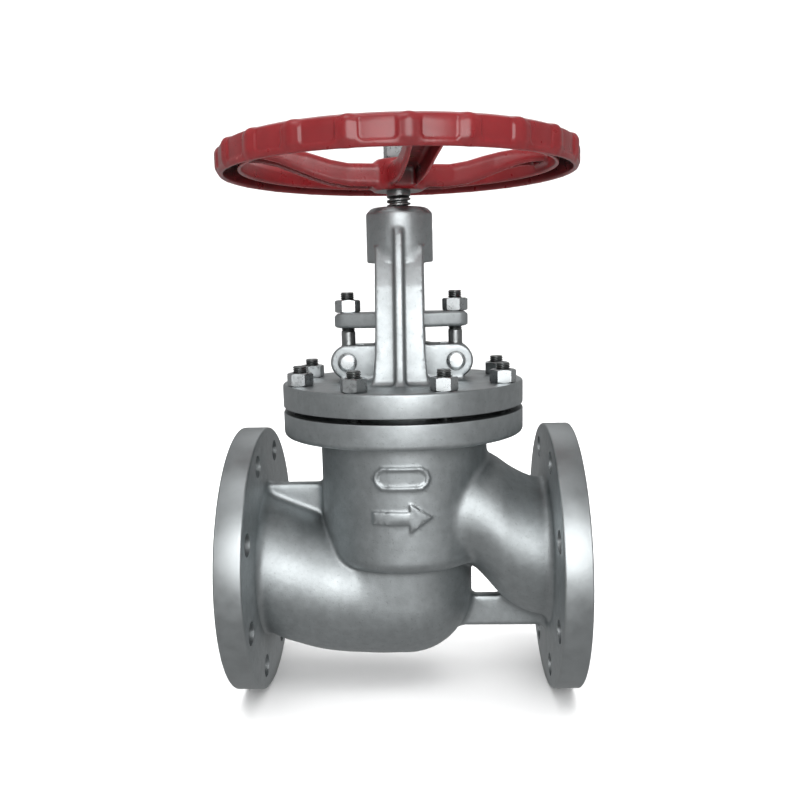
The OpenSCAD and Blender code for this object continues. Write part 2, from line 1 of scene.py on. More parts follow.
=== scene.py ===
import math
import bpy, bmesh
import numpy as np
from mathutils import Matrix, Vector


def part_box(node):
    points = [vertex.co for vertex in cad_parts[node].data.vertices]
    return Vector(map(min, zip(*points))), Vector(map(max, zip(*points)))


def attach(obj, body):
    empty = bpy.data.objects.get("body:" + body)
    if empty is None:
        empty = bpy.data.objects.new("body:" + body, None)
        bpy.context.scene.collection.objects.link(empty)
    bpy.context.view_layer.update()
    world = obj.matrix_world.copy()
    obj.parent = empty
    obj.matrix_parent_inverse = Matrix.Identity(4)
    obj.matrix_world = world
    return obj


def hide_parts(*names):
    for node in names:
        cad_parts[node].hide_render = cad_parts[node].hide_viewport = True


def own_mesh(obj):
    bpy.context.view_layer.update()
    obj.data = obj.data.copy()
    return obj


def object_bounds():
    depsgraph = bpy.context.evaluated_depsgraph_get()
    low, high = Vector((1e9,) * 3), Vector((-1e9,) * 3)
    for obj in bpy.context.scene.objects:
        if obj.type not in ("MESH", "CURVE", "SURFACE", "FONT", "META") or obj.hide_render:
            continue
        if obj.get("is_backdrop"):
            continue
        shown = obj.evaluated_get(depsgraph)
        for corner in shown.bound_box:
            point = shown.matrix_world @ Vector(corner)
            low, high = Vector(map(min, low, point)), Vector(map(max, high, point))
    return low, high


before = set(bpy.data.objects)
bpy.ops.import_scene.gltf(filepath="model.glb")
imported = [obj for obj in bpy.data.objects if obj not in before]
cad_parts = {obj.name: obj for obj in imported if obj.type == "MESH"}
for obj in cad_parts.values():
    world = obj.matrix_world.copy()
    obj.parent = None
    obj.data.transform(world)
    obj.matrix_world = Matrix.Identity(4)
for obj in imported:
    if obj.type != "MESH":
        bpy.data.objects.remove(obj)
import openvdb
from mathutils import Matrix, Vector

CAD_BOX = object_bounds()
STEM_LO, STEM_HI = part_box("stem")
CENTRE_X = (STEM_LO.x + STEM_HI.x) / 2          # stem axis; the pipe axis is z = 0
GLAND_LO, GLAND_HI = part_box("gland_flange")
WHEEL_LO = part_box("handwheel")[0]


def mm(v):
    """Metres as millimetres."""
    return v * 1000


# Heights and radii, in millimetres about the valve's centre.
HALF = mm(CENTRE_X)                             # centre to a raised face
# End flange: radius, raised face, thickness, port, bolt circle and bolt hole.
FLANGE_R, RAISED_R, RAISED_H, FLANGE_T, PORT_R, BOLT_PCR, BOLT_R = 114.3, 78.6, 1.6, 22.3, 51.0, 95.25, 9.5
RIM_X = HALF - RAISED_H
BACK_X = RIM_X - FLANGE_T
# Body: chamber and bowl.
CHAMBER_R, CHAMBER_BORE, LEDGE_Z, FLOOR_Z = 72.0, 62.0, 3.0, 14.0
BOWL_R, BOWL_BORE, BOWL_Z = 57.5, 48.5, -30.0
# Joint flanges, studs and gasket recess.
JOINT_R, JOINT_Z, JOINT_TOP, BONNET_Z, BONNET_TOP = 103.0, 112.0, 132.5, 136.5, 156.0
STUD_R, STUD_HOLE_R, CLEAR_HOLE_R, RECESS_R, RECESS_Z = 90.5, 6.1, 6.75, 75.3, 127.5
# Eyebolt pins, stuffing box and yoke hub.
PIN_X, PIN_Z, PIN_HOLE_R = 46.0, 172.7, 5.05
BOX_TOP, HUB_Z, HUB_TOP, HUB_R = 187.2, 256.0, 301.0, 28.0
GLAND_Z, GLAND_TOP = mm(GLAND_LO.z), mm(GLAND_HI.z)
# Handwheel and stem.
WHEEL_Z, RIM_Z, RIM_TOP, WHEEL_R = mm(WHEEL_LO.z), 327.4, 351.0, 150.0
WHEEL_TOP = 339.0
STEM_R = 10.0


# ---------------------------------------------------------------- meshes

def make(name, verts, faces, mats, body, slot, node=None, smooth=38, index=None):
    """An object from points in millimetres about the valve's centre."""
    v = np.asarray(verts, float).reshape(-1, 3) / 1000 + (CENTRE_X, 0, 0)
    me = bpy.data.meshes.new(name)
    me.from_pydata(v.tolist(), [], [list(map(int, f)) for f in faces])
    return finish_piece(name, me, mats, body, node, smooth, index)


def finish_piece(name, me, mats, body, node=None, smooth=38, index=None):
    me.validate()
    me.materials.clear()
    for m in mats:
        me.materials.append(m)
    if index is not None:
        me.polygons.foreach_set("material_index", index)
    me.polygons.foreach_set("use_smooth", [True] * len(me.polygons))
    me.set_sharp_from_angle(angle=math.radians(smooth))
    ob = bpy.data.objects.new(name, me)
    bpy.context.scene.collection.objects.link(ob)
    if body:
        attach(ob, body)
        if node:
            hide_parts(*([node] if isinstance(node, str) else node))
    return ob


def lathe(profile, n=96, close=True):
    """Points and faces of (r, z) points turned about Z. Points on the axis become one vertex."""
    verts, faces, rows = [], [], []
    for r, z in profile:
        if r < 1e-6:
            rows.append([len(verts)] * n)
            verts.append((0, 0, z))
        else:
            rows.append(list(range(len(verts), len(verts) + n)))
            angles = [2 * math.pi * k / n for k in range(n)]
            verts += [(r * math.cos(a), r * math.sin(a), z) for a in angles]
    m = len(rows)
    for i in range(m if close else m - 1):
        a, b = rows[i], rows[(i + 1) % m]
        for k in range(n):
            q = [a[k], a[(k + 1) % n], b[(k + 1) % n], b[k]]
            q = [x for j, x in enumerate(q) if x != q[j - 1]]
            if len(q) > 2:
                faces.append(q)
    return verts, faces


def rod(radius, z0, z1, n=40):
    """A plain cylinder about Z."""
    return lathe([(0, z0), (radius, z0), (radius, z1), (0, z1)], n)


def quads(rows, n, ring=False):
    """Faces between neighbouring rows of n points; ring joins the last row to the first."""
    return [[j * n + k, j * n + (k + 1) % n, (j + 1) % rows * n + (k + 1) % n, (j + 1) % rows * n + k]
            for j in range(rows if ring else rows - 1) for k in range(n)]


def circle(count, radius):
    """The places of a bolt circle, the first half a step round from +X."""
    angles = [2 * math.pi * (i + 0.5) / count for i in range(count)]
    return [(radius * math.cos(a), radius * math.sin(a)) for a in angles]


def rounded(profile, radius, steps=3):
    """The profile with every corner rounded; radius is one number or one for each point."""
    out, n = [], len(profile)
    for i, p in enumerate(profile):
        r = radius if isinstance(radius, (int, float)) else radius[i]
        p, a, b = (np.array(q, float) for q in (p, profile[i - 1], profile[(i + 1) % n]))
        u, w = a - p, b - p
        lu, lw = np.linalg.norm(u), np.linalg.norm(w)
        if r <= 0 or lu < 1e-9 or lw < 1e-9:
            out.append(tuple(p))
            continue
        u, w = u / lu, w / lw
        ang = math.acos(max(-1, min(1, float(u @ w))))
        if ang > math.pi - 0.05:
            out.append(tuple(p))
            continue
        d = min(r / math.tan(ang / 2), 0.45 * lu, 0.45 * lw)
        s, e = p + u * d, p + w * d
        for k in range(steps + 1):
            t = k / steps
            out.append(tuple((1 - t) ** 2 * s + 2 * t * (1 - t) * p + t * t * e))
    return out


def turn(verts, matrix):
    return [tuple(matrix @ Vector(v)) for v in verts]


def join(*parts):
    verts, faces = [], []
    for v, f in parts:
        k = len(verts)
        verts += list(v)
        faces += [[i + k for i in q] for q in f]
    return verts, faces


def moved(part, dx=0, dy=0, dz=0, rz=0):
    m = Matrix.Translation((dx, dy, dz)) @ Matrix.Rotation(rz, 4, "Z")
    return turn(part[0], m), part[1]


def along_x(part, x0=0, flip=False):
    """Turns a piece made about Z so that Z runs along +X, or -X if flipped."""
    m = Matrix.Translation((x0, 0, 0)) @ Matrix.Rotation(math.radians(-90 if flip else 90), 4, "Y")
    return turn(part[0], m), part[1]


def along_y(part, dx=0, dy=0, dz=0, flip=False):
    m = Matrix.Translation((dx, dy, dz)) @ Matrix.Rotation(math.radians(90 if flip else -90), 4, "X")
    return turn(part[0], m), part[1]


def prism(outline, z0, z1):
    """A convex outline, anticlockwise seen from above, extruded between two heights."""
    n = len(outline)
    verts = [(*p, z) for z in (z0, z1) for p in outline]
    return verts, quads(2, n) + [list(range(n))[::-1], [n + i for i in range(n)]]


def square(half):
    return [(-half, -half), (half, -half), (half, half), (-half, half)]


def raw(name, part):
    """A scratch object for a Boolean, in metres."""
    me = bpy.data.meshes.new(name)
    v = np.asarray(part[0], float) / 1000 + (CENTRE_X, 0, 0)
    me.from_pydata(v.tolist(), [], [list(map(int, f)) for f in part[1]])
    bm = bmesh.new()
    bm.from_mesh(me)
    bmesh.ops.recalc_face_normals(bm, faces=bm.faces)
    bm.to_mesh(me)
    bm.free()
    ob = bpy.data.objects.new(name, me)
    bpy.context.scene.collection.objects.link(ob)
    return ob


def boolean(base, tool, how):
    """Joins a scratch object to another or cuts it away, and removes the tool."""
    mod = base.modifiers.new("b", "BOOLEAN")
    mod.operation, mod.solver, mod.object = how, "MANIFOLD", tool
    dg = bpy.context.evaluated_depsgraph_get()
    me = bpy.data.meshes.new_from_object(base.evaluated_get(dg), depsgraph=dg)
    base.modifiers.clear()
    old, base.data = base.data, me
    bpy.data.meshes.remove(old)
    bpy.data.objects.remove(tool)
    return base


def take_mesh(ob):
    me = ob.data
    bpy.data.objects.remove(ob)
    return me


# ---------------------------------------------------------------- distance fields

class Field:
    """A box of space sampled every h millimetres, and the shapes measured in it."""

    def __init__(self, lo, hi, h):
        self.lo, self.h = np.array(lo, float), h
        n = np.ceil((np.array(hi, float) - self.lo) / h).astype(int) + 1
        ax = [(self.lo[i] + h * np.arange(n[i])).astype(np.float32) for i in range(3)]
        self.x, self.y, self.z = ax[0][:, None, None], ax[1][None, :, None], ax[2][None, None, :]
        self.shape = tuple(n)

    def mesh(self, d, adapt=0.0):
        g = openvdb.FloatGrid(3 * self.h)
        g.copyFromArray(np.array(np.broadcast_to(d, self.shape), dtype=np.float32, order="C"))
        g.transform = openvdb.createLinearTransform(voxelSize=self.h)
        p, t, q = g.convertToPolygons(isovalue=0.0, adaptivity=adapt)
        p = p + self.lo
        faces = [list(map(int, f)) for f in np.asarray(q)] + [list(map(int, f)) for f in np.asarray(t)]
        return p.tolist(), faces


def smin(a, b, k):
    h = np.clip(0.5 + 0.5 * (b - a) / k, 0, 1)
    return b + (a - b) * h - k * h * (1 - h)


def smax(a, b, k):
    return -smin(-a, -b, k)


def d_cyl(r, axis, radius, lo, hi, edge=0.0):
    """Distance to a cylinder: r is the distance from its line, axis the coordinate along it."""
    a = r - radius + edge
    b = np.abs(axis - (lo + hi) / 2) - (hi - lo) / 2 + edge
    return np.minimum(np.maximum(a, b), 0) + np.hypot(np.maximum(a, 0), np.maximum(b, 0)) - edge


def d_box(x, y, z, cx, cy, cz, hx, hy, hz, edge=0.0):
    a, b, c = np.abs(x - cx) - hx + edge, np.abs(y - cy) - hy + edge, np.abs(z - cz) - hz + edge
    return np.minimum(np.maximum(a, np.maximum(b, c)), 0) + np.sqrt(
        np.maximum(a, 0) ** 2 + np.maximum(b, 0) ** 2 + np.maximum(c, 0) ** 2) - edge


def d_poly(u, v, pts):
    """Signed distance to a closed polygon in a plane."""
    d = np.full(np.broadcast(u, v).shape, 1e9, np.float32)
    inside = np.zeros(d.shape, bool)
    n = len(pts)
    for i in range(n):
        (ax, ay), (bx, by) = pts[i - 1], pts[i]
        ex, ey = bx - ax, by - ay
        t = np.clip(((u - ax) * ex + (v - ay) * ey) / (ex * ex + ey * ey), 0, 1)
        d = np.minimum(d, (u - ax - t * ex) ** 2 + (v - ay - t * ey) ** 2)
        if abs(ey) > 1e-9:
            cross = ((ay > v) != (by > v)) & (u < ax + (v - ay) * ex / ey)
            inside ^= cross
    d = np.sqrt(d)
    return np.where(inside, -d, d)


def d_passage(F, stations, upright=0):
    """Distance to a tube along X whose elliptical sections follow [x, centre z, half height, half width].

    Where upright goes from 0 to 1, the upper half of the section turns into straight walls.
    """
    s = np.array(stations, float)
    xs = np.linspace(s[0, 0], s[-1, 0], 400)
    cols = []
    for c in (1, 2, 3):
        # Cubic through the stations, with slopes from their neighbours.
        m = np.gradient(s[:, c], s[:, 0])
        i = np.clip(np.searchsorted(s[:, 0], xs) - 1, 0, len(s) - 2)
        w = s[i + 1, 0] - s[i, 0]
        t = (xs - s[i, 0]) / w
        cols.append((2 * t**3 - 3 * t**2 + 1) * s[i, c] + (t**3 - 2 * t**2 + t) * w * m[i]
                    + (-2 * t**3 + 3 * t**2) * s[i + 1, c] + (t**3 - t**2) * w * m[i + 1])
    x = F.x[:, 0, 0]
    cz, rh, rw = (np.interp(x, xs, c).astype(np.float32)[:, None, None] for c in cols)
    slope = np.gradient(cz[:, 0, 0], x)[:, None, None]
    rise = F.z - cz
    rise = np.where(rise > 0, rise * (1 - upright), rise)
    q = np.sqrt((F.y / rw) ** 2 + (rise / rh) ** 2)
    # First-order distance of the section, reduced where the tube leans.
    g = np.sqrt((F.y / rw**2) ** 2 + (rise / rh**2) ** 2) / np.maximum(q, 1e-3)
    d = (q - 1) / np.maximum(g, 1e-4)
    d = np.where(q < 0.3, (q - 1) * np.minimum(rh, rw), d)
    lean = np.abs(rise / rh) / np.maximum(q, 1e-3)
    d = d / np.sqrt(1 + (slope * lean) ** 2)
    ends = np.maximum(s[0, 0] - F.x, F.x - s[-1, 0])
    return np.maximum(d, ends)


# ---------------------------------------------------------------- materials

class Nodes:
    """A material built node by node."""

    def __init__(self, name, **sockets):
        self.mat = bpy.data.materials.new(name)
        self.mat.use_nodes = True
        self.t = self.mat.node_tree
        self.bsdf = self.t.nodes["Principled BSDF"]
        for k, v in sockets.items():
            self.bsdf.inputs[k.replace("_", " ")].default_value = v
        self.mat.diffuse_color = (*sockets.get("Base_Color", (0.5, 0.5, 0.5, 1))[:3], 1)
        self.coord = self.add("ShaderNodeTexCoord").outputs["Object"]

    def add(self, kind, **props):
        n = self.t.nodes.new(kind)
        for k, v in props.items():
            setattr(n, k, v)
        return n

    def link(self, a, b):
        self.t.links.new(a, b)

    def math(self, op, a, b=None, clamp=False):
        n = self.add("ShaderNodeMath", operation=op, use_clamp=clamp)
        for i, v in enumerate((a, b)):
            if v is None:
                continue
            if isinstance(v, (int, float)):
                n.inputs[i].default_value = v
            else:
                self.link(v, n.inputs[i])
        return n.outputs[0]

    def noise(self, size_mm, detail=2.0, rough=0.5, vector=None):
        n = self.add("ShaderNodeTexNoise")
        n.inputs["Scale"].default_value = 1000 / size_mm
        n.inputs["Detail"].default_value = detail
        n.inputs["Roughness"].default_value = rough
        self.link(vector or self.coord, n.inputs["Vector"])
        return n.outputs["Fac"]

    def spread(self, value, lo, hi, a=0.0, b=1.0):
        n = self.add("ShaderNodeMapRange")
        for i, v in enumerate((lo, hi, a, b)):
            n.inputs[i + 1].default_value = v
        self.link(value, n.inputs[0])
        return n.outputs[0]

    def mix(self, fac, a, b):
        n = self.add("ShaderNodeMix", data_type="RGBA")
        for sock, v in ((n.inputs[0], fac), (n.inputs[6], a), (n.inputs[7], b)):
            if isinstance(v, tuple):
                sock.default_value = (*v, 1)
            elif isinstance(v, (int, float)):
                sock.default_value = v
            else:
                self.link(v, sock)
        return n.outputs[2]

    def radius(self, axis, centre=(0, 0, 0)):
        """Distance in metres from a line along X or Z through centre."""
        sep = self.add("ShaderNodeSeparateXYZ")
        self.link(self.coord, sep.inputs[0])
        keep = (1, 2) if axis == "X" else (0, 1)
        sq = [self.math("POWER", self.math("SUBTRACT", sep.outputs[i], centre[i]), 2) for i in keep]
        return self.math("SQRT", self.math("ADD", *sq)), sep

    def bump(self, height, strength, distance_mm, chain=None):
        n = self.add("ShaderNodeBump")
        n.inputs["Strength"].default_value = strength
        n.inputs["Distance"].default_value = distance_mm / 1000
        self.link(height, n.inputs["Height"])
        if chain is not None:
            self.link(chain, n.inputs["Normal"])
        return n.outputs["Normal"]

    # Ambient occlusion, used to paint shade into the colour of crevices, recesses and corners.
    def painted_shade_ao(self, distance_mm):
        n = self.add("ShaderNodeAmbientOcclusion")
        n.samples = 8
        n.inputs["Distance"].default_value = distance_mm / 1000
        return n.outputs["AO"]

    def done(self, color=None, rough=None, normal=None, metal=None):
        for v, k in ((color, "Base Color"), (rough, "Roughness"), (normal, "Normal"), (metal, "Metallic")):
            if v is not None:
                self.link(v, self.bsdf.inputs[k])
        return self.mat


def cast_metal(name, tone, rough=0.5, grain=0.7, pits=0.25):
    """Bead-blasted stainless casting: fine matte grain, slow undulation, small pits, and painted shade darkening the
    crevices.
    """
    n = Nodes(name, Metallic=1.0, Base_Color=(*tone, 1))
    slow = n.noise(28, 2)
    patch = n.noise(7, 3, 0.6)
    fine = n.noise(grain, 2, 0.65)
    speck = n.spread(n.noise(1.9, 1, 0.4), 0.66, 0.74)
    # Painted shade: ambient occlusion darkens the colour to 0.42 of the tone in crevices and recesses.
    painted_shade_mask = n.spread(n.painted_shade_ao(16), 0.25, 0.95)
    dark = tuple(c * 0.62 for c in tone)
    light = tuple(min(1, c * 1.1) for c in tone)
    col = n.mix(n.spread(patch, 0.3, 0.7), tuple(c * 0.93 for c in tone), light)
    col = n.mix(n.math("MULTIPLY", speck, 0.35), col, dark)
    col = n.mix(painted_shade_mask, tuple(c * 0.42 for c in tone), col)
    r = n.math("ADD", n.spread(slow, 0.3, 0.7, rough - 0.05, rough + 0.05), n.spread(fine, 0.3, 0.7, -0.03, 0.03))
    nor = n.bump(slow, 0.35, 0.9)
    nor = n.bump(patch, 0.3, 0.25, nor)
    nor = n.bump(fine, 0.75, 0.10, nor)
    nor = n.bump(speck, pits, -0.15, nor)
    return n.done(col, r, nor)


def turned_metal(name, tone, axis="Z", centre=(0, 0, 0), pitch=0.35, rough=0.3, depth=0.5):
    """Machined steel with the fine rings a lathe tool leaves about an axis."""
    n = Nodes(name, Metallic=1.0, Base_Color=(*tone, 1))
    rad, sep = n.radius(axis, centre)
    along = sep.outputs[0 if axis == "X" else 2]
    phase = n.math("MULTIPLY", n.math("ADD", rad, along), 2000 * math.pi / pitch)
    ring = n.math("SINE", n.math("ADD", phase, n.math("MULTIPLY", n.noise(9, 1), 2.0)))
    stain = n.noise(14, 3, 0.6)
    fine = n.noise(0.4, 2)
    col = n.mix(n.spread(stain, 0.35, 0.7), tuple(c * 0.88 for c in tone), tone)
    # Painted shade: ambient occlusion darkens the colour to half the tone in crevices.
    col = n.mix(n.spread(n.painted_shade_ao(6), 0.3, 0.9), tuple(c * 0.5 for c in tone), col)
    r = n.math("ADD", n.spread(stain, 0.3, 0.7, rough - 0.04, rough + 0.08), n.spread(ring, -1, 1, -0.03, 0.03))
    nor = n.bump(n.spread(ring, -1, 1), depth, 0.03)
    nor = n.bump(fine, 0.25, 0.03, nor)
    return n.done(col, r, nor)


def fastener_metal(name, tone, rough=0.28):
    """Cold-forged stainless: faint draw marks, scuffs, and painted shade darkening the corners."""
    n = Nodes(name, Metallic=1.0, Base_Color=(*tone, 1))
    scuff = n.noise(3.5, 2, 0.55)
    fine = n.noise(0.35, 2)
    col = n.mix(n.spread(scuff, 0.3, 0.7), tuple(c * 0.88 for c in tone), tone)
    # Painted shade: ambient occlusion darkens the colour to a quarter of the tone in corners.
    col = n.mix(n.spread(n.painted_shade_ao(5), 0.3, 0.95), tuple(c * 0.25 for c in tone), col)
    r = n.spread(scuff, 0.3, 0.7, rough - 0.04, rough + 0.1)
    return n.done(col, r, n.bump(fine, 0.25, 0.02, n.bump(scuff, 0.15, 0.05)))


def enamel(name, tone, worn):
    """Glossy red enamel over cast iron, with slight runs, small chips on the high spots, edges lightened as dust and
    painted highlight, and painted shade in the channels and corners.
    """
    n = Nodes(name, Base_Color=(*tone, 1), Coat_Weight=0.35, Coat_Roughness=0.2, Specular_IOR_Level=0.45)
    slow = n.noise(11, 2)
    peel = n.noise(1.6, 2)
    tint = n.noise(30, 3, 0.6)
    # Lighter colour on convex edges: partly dust, partly a painted highlight; the same edges also place the chips.
    edge = n.spread(n.add("ShaderNodeNewGeometry").outputs["Pointiness"], 0.53, 0.60)
    edge = n.math("MULTIPLY", edge, n.spread(n.noise(5, 3), 0.35, 0.6, 0.15, 0.75))
    chip = n.math("MULTIPLY", n.spread(n.noise(1.1, 3, 0.6), 0.62, 0.68), edge)
    col = n.mix(n.spread(tint, 0.3, 0.7), tuple(c * 0.85 for c in tone), tuple(min(1, c * 1.12) for c in tone))
    col = n.mix(edge, col, (0.34, 0.11, 0.105))
    # Painted shade: ambient occlusion darkens the enamel to 0.13 of its tone in channels and corners.
    col = n.mix(n.spread(n.painted_shade_ao(22), 0.18, 0.82), tuple(c * 0.13 for c in tone), col)
    col = n.mix(chip, col, worn)
    r = n.math("ADD", n.spread(slow, 0.3, 0.7, 0.26, 0.38), n.math("MULTIPLY", chip, 0.3))
    nor = n.bump(slow, 0.3, 0.5)
    nor = n.bump(peel, 0.2, 0.06, nor)
    return n.done(col, r, nor)


def rings_material(name, axis, centre, pitch, a, b, metal_a, rough):
    """Alternating fine rings of two materials, as in a spiral-wound gasket."""
    n = Nodes(name, Base_Color=(*a, 1), Metallic=metal_a)
    rad = n.radius(axis, centre)[0]
    ring = n.spread(n.math("SINE", n.math("MULTIPLY", rad, 2000 * math.pi / pitch)), -0.2, 0.2)
    dust = n.noise(1.0, 3)
    col = n.mix(ring, a, b)
    relief = n.bump(ring, 0.6, 0.1, n.bump(dust, 0.3, 0.05))
    return n.done(col, n.spread(dust, 0.3, 0.7, rough, rough + 0.2), relief)


def braid(name, tone):
    """Square-braided graphite packing: crossing diagonal strands with a dull sheen."""
    n = Nodes(name, Base_Color=(*tone, 1), Metallic=0.25)
    sep = n.add("ShaderNodeSeparateXYZ")
    n.link(n.coord, sep.inputs[0])
    x = n.math("SUBTRACT", sep.outputs[0], CENTRE_X)
    ang = n.math("MULTIPLY", n.math("ARCTAN2", sep.outputs[1], x), 14)
    z = n.math("MULTIPLY", sep.outputs[2], 2000 * math.pi / 3.2)
    weave = n.math("MULTIPLY", n.math("SINE", n.math("ADD", ang, z)), n.math("SINE", n.math("SUBTRACT", ang, z)))
    fluff = n.noise(0.5, 3)
    col = n.mix(n.spread(weave, -1, 1), tuple(c * 0.6 for c in tone), tuple(c * 1.6 for c in tone))
    return n.done(col, n.spread(fluff, 0.3, 0.7, 0.45, 0.65), n.bump(weave, 0.7, 0.3, n.bump(fluff, 0.4, 0.05)))


CAST = cast_metal("cast_blasted", (0.46, 0.49, 0.50))
CAST_YOKE = cast_metal("cast_blasted_yoke", (0.46, 0.49, 0.50), rough=0.44, grain=0.6)
MACHINED_X = turned_metal("machined_flange", (0.50, 0.53, 0.54), "X", pitch=0.55, rough=0.40, depth=0.6)
STEM_AXIS = (CENTRE_X, 0, 0)
MACHINED_Z = turned_metal("machined_joint", (0.50, 0.53, 0.54), "Z", STEM_AXIS, pitch=0.5, rough=0.36)
TURNED = turned_metal("turned_trim", (0.62, 0.625, 0.63), "Z", STEM_AXIS, pitch=0.3, rough=0.24)
STEM_METAL = turned_metal("ground_stem", (0.5, 0.505, 0.51), "Z", STEM_AXIS, pitch=0.12, rough=0.26, depth=0.3)
FASTENER = fastener_metal("fastener", (0.58, 0.61, 0.62))
THREAD = fastener_metal("oiled_thread", (0.36, 0.375, 0.375), 0.34)
BRONZE = turned_metal("bronze", (0.50, 0.35, 0.16), "Z", STEM_AXIS, pitch=0.4, rough=0.32)
BLACK = fastener_metal("black_oxide", (0.035, 0.036, 0.04), 0.4)
RED = enamel("red_enamel", (0.140, 0.007, 0.009), (0.05, 0.022, 0.02))
GASKET = rings_material("spiral_gasket", "Z", STEM_AXIS, 0.9, (0.42, 0.42, 0.43), (0.04, 0.04, 0.042), 0.8, 0.35)
PACKING = braid("graphite_braid", (0.045, 0.045, 0.05))

for node, material in {
    "seat_ring": TURNED, "disc": TURNED, "disc_nut": TURNED, "disc_lock_washer": FASTENER,
    "backseat_bushing": TURNED,
    "bonnet_gasket": GASKET, "packing_washer": FASTENER, "gland_follower": TURNED,
    "yoke_bushing": BRONZE, "yoke_set_screw": BLACK, "cotter_left": FASTENER, "cotter_right": FASTENER,
}.items():
    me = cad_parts[node].data
    me.materials.clear()
    me.materials.append(material)


# ---------------------------------------------------------------- threads and nuts

# Depth of a thread, from 0 at the crest to 1 at the root, against the share of a turn.
THREAD_FORMS = {"metric": ([0, 0.05, 0.45, 0.57, 0.97, 1.0], [0, 0, 1, 1, 0, 0]),
                "trapezoid": ([0, 0.36, 0.50, 0.86, 1.0], [0, 0, 1, 1, 0])}


def threaded(radius, pitch, depth, zs, kind="metric", n=40, ends=(True, True), reach=None):
    """A right-hand threaded rod with rows of points at the heights zs; it is plain outside reach."""
    lo, hi = zs[0], zs[-1]
    verts = []
    for z in zs:
        for k in range(n):
            turn_share = (z / pitch - k / n) % 1.0
            d = depth * float(np.interp(turn_share, *THREAD_FORMS[kind]))
            if reach:
                d *= max(0, min(1, (z - reach[0]) / (pitch * 0.6), (reach[1] - z) / (pitch * 0.6)))
            r = radius - d
            if ends[1]:
                r = min(r, radius - depth * 1.1 + (hi - z) * 1.0)
            if ends[0]:
                r = min(r, radius - depth * 1.1 + (z - lo) * 1.0)
            a = 2 * math.pi * k / n
            verts.append((r * math.cos(a), r * math.sin(a), z))
    m = len(zs)
    faces = quads(m, n) + [list(range(n))[::-1], [(m - 1) * n + k for k in range(n)]]
    return verts, faces


def span(lo, hi, step):
    return np.linspace(lo, hi, max(2, int(round((hi - lo) / step)) + 1)).tolist()


def hex_nut(flats, height, bore, n=72):
    """A hexagon nut whose corners are cut by a thirty-degree cone above and below."""
    half = flats / 2
    rows = []

    def ring(radius, z):
        angles = [2 * math.pi * k / n for k in range(n)]
        rows.append([(radius(a) * math.cos(a), radius(a) * math.sin(a), z(a)) for a in angles])

    hexa = lambda a: half / math.cos((a + math.pi / 6) % (math.pi / 3) - math.pi / 6)
    drop = lambda a: (hexa(a) - half * 0.97) * math.tan(math.radians(30))
    ring(lambda a: bore, lambda a: 0.7)
    ring(lambda a: bore + 0.7, lambda a: 0)
    ring(lambda a: half * 0.97, lambda a: 0)
    ring(hexa, lambda a: drop(a) * 0.9)
    ring(hexa, lambda a: height - drop(a))
    ring(lambda a: half * 0.97, lambda a: height)
    ring(lambda a: half * 0.93, lambda a: height)
    ring(lambda a: bore + 0.9, lambda a: height)
    ring(lambda a: bore, lambda a: height - 0.9)
    return [p for r in rows for p in r], quads(len(rows), n, True)


rng = np.random.default_rng(7)
NUT_FLATS, NUT_H, NUT_BORE, STAND = 19, 10.8, 6.05, 5.5     # M12 nut, and how far its bolt stands out
M12 = (6.0, 1.75, 1.0)                                      # radius, pitch and depth of thread
FINE = 0.22                                                 # rows of a thread

stud_rows = ([JOINT_Z + 2.2] + span(JOINT_TOP - 1.5, BONNET_Z + 1.5, FINE)
             + span(BONNET_TOP + NUT_H - 2, BONNET_TOP + NUT_H + STAND, FINE))
studs, nuts = [], []
for x, y in circle(8, STUD_R):
    studs.append(moved(threaded(*M12, stud_rows, ends=(False, True)), x, y, 0, rng.uniform(0, 6)))
    nuts.append(moved(hex_nut(NUT_FLATS, NUT_H, NUT_BORE), x, y, BONNET_TOP, rng.uniform(0, math.pi / 3)))
make("studs", *join(*studs), [THREAD], "casing", "fastener_steel", "bonnet_studs")
make("nuts", *join(*nuts), [FASTENER], "casing", "fastener_steel", "bonnet_nuts", smooth=24)


# ---------------------------------------------------------------- body casting

inlet_outer = [[-BACK_X - 3, -1.5, 61, 62], [-112, -9, 62.5, 62], [-94, -16, 62, 61.5], [-76, -22, 61, 61],
               [-55, -26.5, 59.5, 60], [-30, -29.2, 58, 58.3], [0, BOWL_Z, BOWL_R, BOWL_R]]
inlet_inner = [[-BACK_X - 8, -0.5, 50.5, 50.5], [-108, -9, 51.5, 51], [-92, -17, 51, 51], [-80, -22, 50, 51],
               [-70, -29.5, 44.5, 51], [-62, -36.5, 39, 50], [-46, -38.5, 39, 48.4], [-30, -30, 46, 48.3],
               [0, -30, 47.9, 47.9]]
outlet_outer = [[20, 45, 46, 54], [44, 44.5, 48.5, 57.5], [60, 42, 52, 58.5], [70, 35.5, 56, 59.5],
                [80, 27, 59.5, 60.5], [92, 17.5, 60.3, 61], [106, 10, 60, 61.2], [BACK_X + 3, 5, 59, 61.5]]
outlet_inner = [[20, 50, 35, 45], [44, 48, 37.5, 48], [60, 42, 41.5, 49], [70, 33.5, 45.5, 49.5],
                [80, 24, 49.5, 50], [92, 14.5, 51, 50.5], [106, 6, 51, 50.5], [BACK_X + 8, 0.5, 50.5, 50.5]]

F = Field((-HALF - 2, -118, -118), (HALF + 2, 118, JOINT_TOP + 3), 1.3)
x, y, z = F.x, F.y, F.z
rho = np.hypot(x, y)                             # distance from the stem axis
tube = np.hypot(y, z)                            # distance from the pipe axis


def d_bowl(radius, top):
    return np.maximum(np.sqrt(rho**2 + np.minimum(z - BOWL_Z, 0) ** 2) - radius, z - top)


